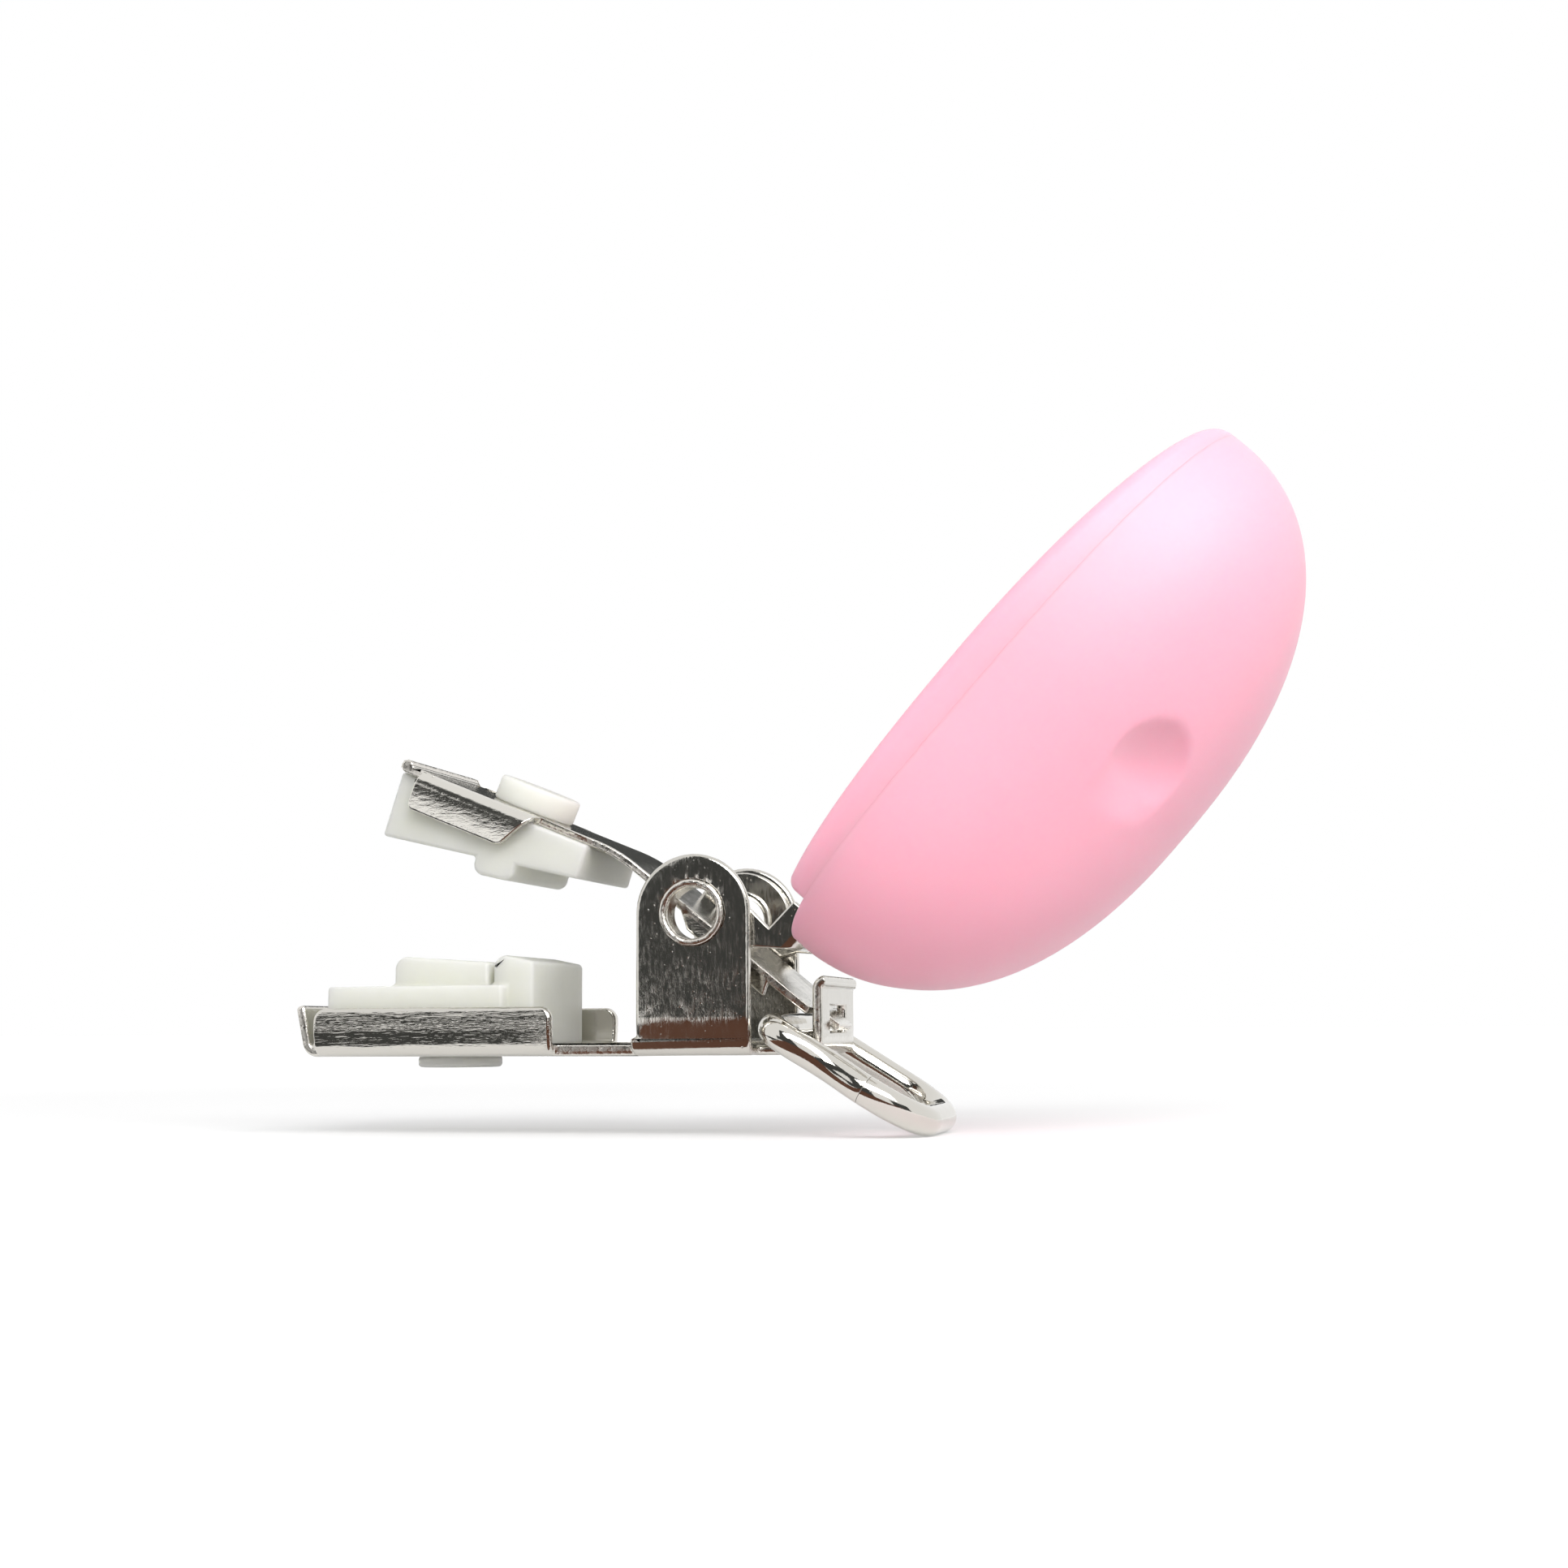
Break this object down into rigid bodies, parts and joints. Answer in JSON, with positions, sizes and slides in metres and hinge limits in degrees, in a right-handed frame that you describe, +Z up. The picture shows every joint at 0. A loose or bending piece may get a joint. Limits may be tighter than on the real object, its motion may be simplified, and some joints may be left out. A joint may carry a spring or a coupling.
{
  "type": "lever strap clip",
  "caption": "Open lever clip of folded sheet metal with soft jaw pads, a swinging wire strap ring and a soft domed cover on its lever.",
  "frame": {"origin": "on the underside of the base plate, straight below the lever's pivot, midway across the clip", "axes": "+X from the jaws to the strap ring, +Y along the pivot, +Z up from the base plate to the upper jaw"},
  "size_m": [0.0647, 0.0264, 0.043],
  "materials": {
    "plated_steel": "bright nickel plate over stamped steel",
    "polished_wire": "bright nickel plate over round wire",
    "frosted_pad": "frosted natural plastic, slightly see-through",
    "soft_pink": "matte moulded plastic with a soft-touch skin"
  },
  "bodies": {
    "base": {"base_plate": "plated_steel", "lower_jaw_pad": "frosted_pad"},
    "upper_jaw": {"upper_jaw_plate": "plated_steel", "upper_jaw_pad": "frosted_pad"},
    "lever": {"lever_plate": "plated_steel", "left_pivot_eyelet": "plated_steel", "right_pivot_eyelet": "plated_steel", "cover_front_shell": "soft_pink", "cover_back_plate": "soft_pink"},
    "ring": {"strap_ring": "polished_wire"}
  },
  "joints": [
    {"name": "lever_pivot", "type": "hinge", "parent": "base", "child": "lever", "pos_m": [0, 0, 0.00875], "axis": [0, -1, 0], "range_deg": [0, 126]},
    {"name": "jaw_hinge", "type": "hinge", "parent": "base", "child": "upper_jaw", "pos_m": [0.00743, 0, 0.0022], "axis": [0, -1, 0], "range_deg": [0, 13.3]},
    {"name": "ring_swing", "type": "hinge", "parent": "base", "child": "ring", "pos_m": [0.0047, 0, 0.00165], "axis": [0, 1, 0], "range_deg": [-31, 58]}
  ],
  "couplings": [
    {"joint": "jaw_hinge", "follows": "lever_pivot", "ratio": 0.105}
  ]
}
